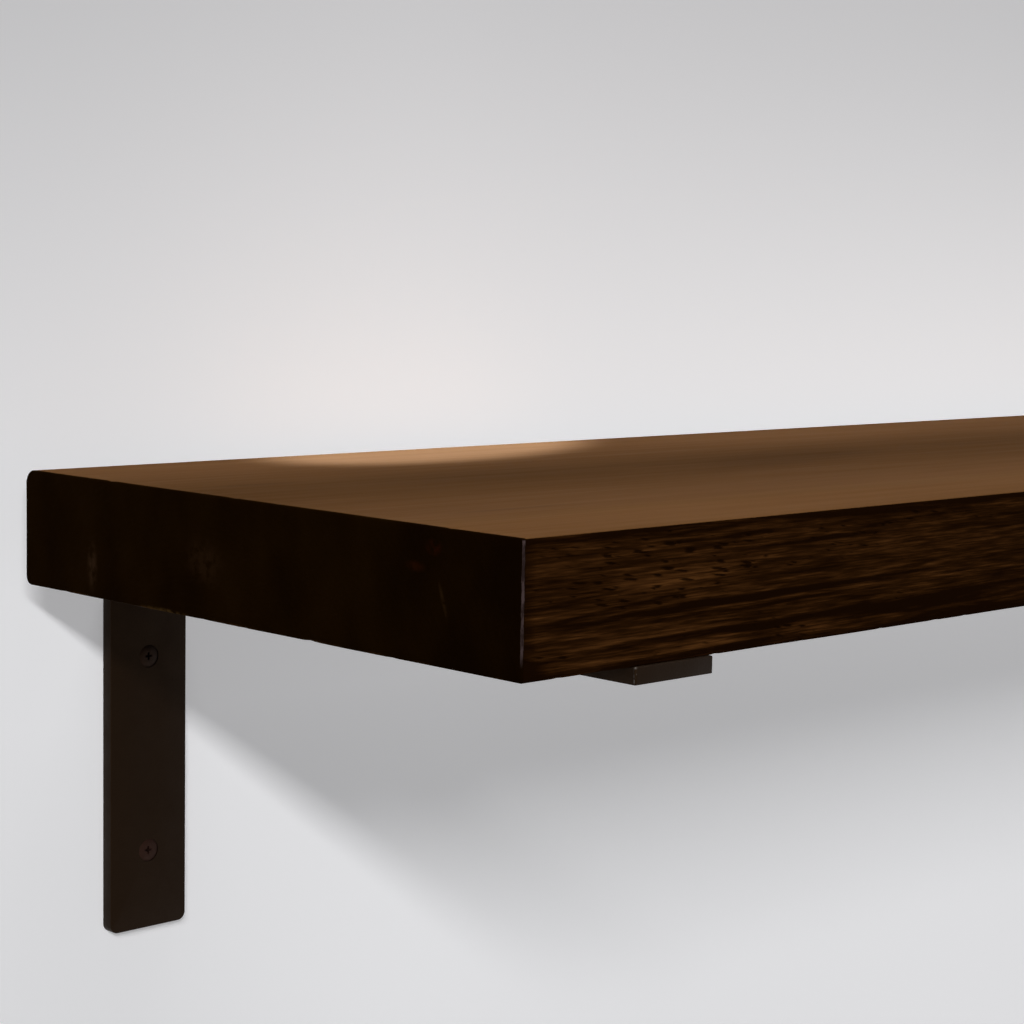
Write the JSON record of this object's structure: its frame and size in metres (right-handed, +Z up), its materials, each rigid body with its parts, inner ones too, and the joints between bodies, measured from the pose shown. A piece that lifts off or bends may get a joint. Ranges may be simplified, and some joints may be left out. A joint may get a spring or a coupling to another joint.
{
  "type": "bracket wall shelf",
  "caption": "Wall shelf: a thick dark-stained softwood plank carried from below on bent flat steel brackets with countersunk screws into wall plugs.",
  "frame": {"origin": "on the wall plane, at the centre of the rectangle of the four wall fixings", "axes": "+X along the plank, left to right as seen from the room; +Y into the wall, square to it; +Z up"},
  "size_m": [0.914, 0.2992, 0.168],
  "materials": {
    "stained_wood": "softwood stained dark walnut, satin on the top and near black on the end grain",
    "coated_steel": "matt brown-black coating on hot-rolled flat bar, chipped at the front corners",
    "screw_steel": "black phosphate on steel, rubbed a little lighter on the rim of the head",
    "plug_nylon": "plain grey moulded nylon"
  },
  "bodies": {
    "root": {"shelf_board": "stained_wood", "bracket_left": "coated_steel", "bracket_right": "coated_steel", "wall_screw_left_upper": "screw_steel", "wall_screw_left_lower": "screw_steel", "wall_screw_right_upper": "screw_steel", "wall_screw_right_lower": "screw_steel", "board_screw_left_front": "screw_steel", "board_screw_left_rear": "screw_steel", "board_screw_right_front": "screw_steel", "board_screw_right_rear": "screw_steel", "wall_plug_left_upper": "plug_nylon", "wall_plug_left_lower": "plug_nylon", "wall_plug_right_upper": "plug_nylon", "wall_plug_right_lower": "plug_nylon"}
  },
  "joints": []
}
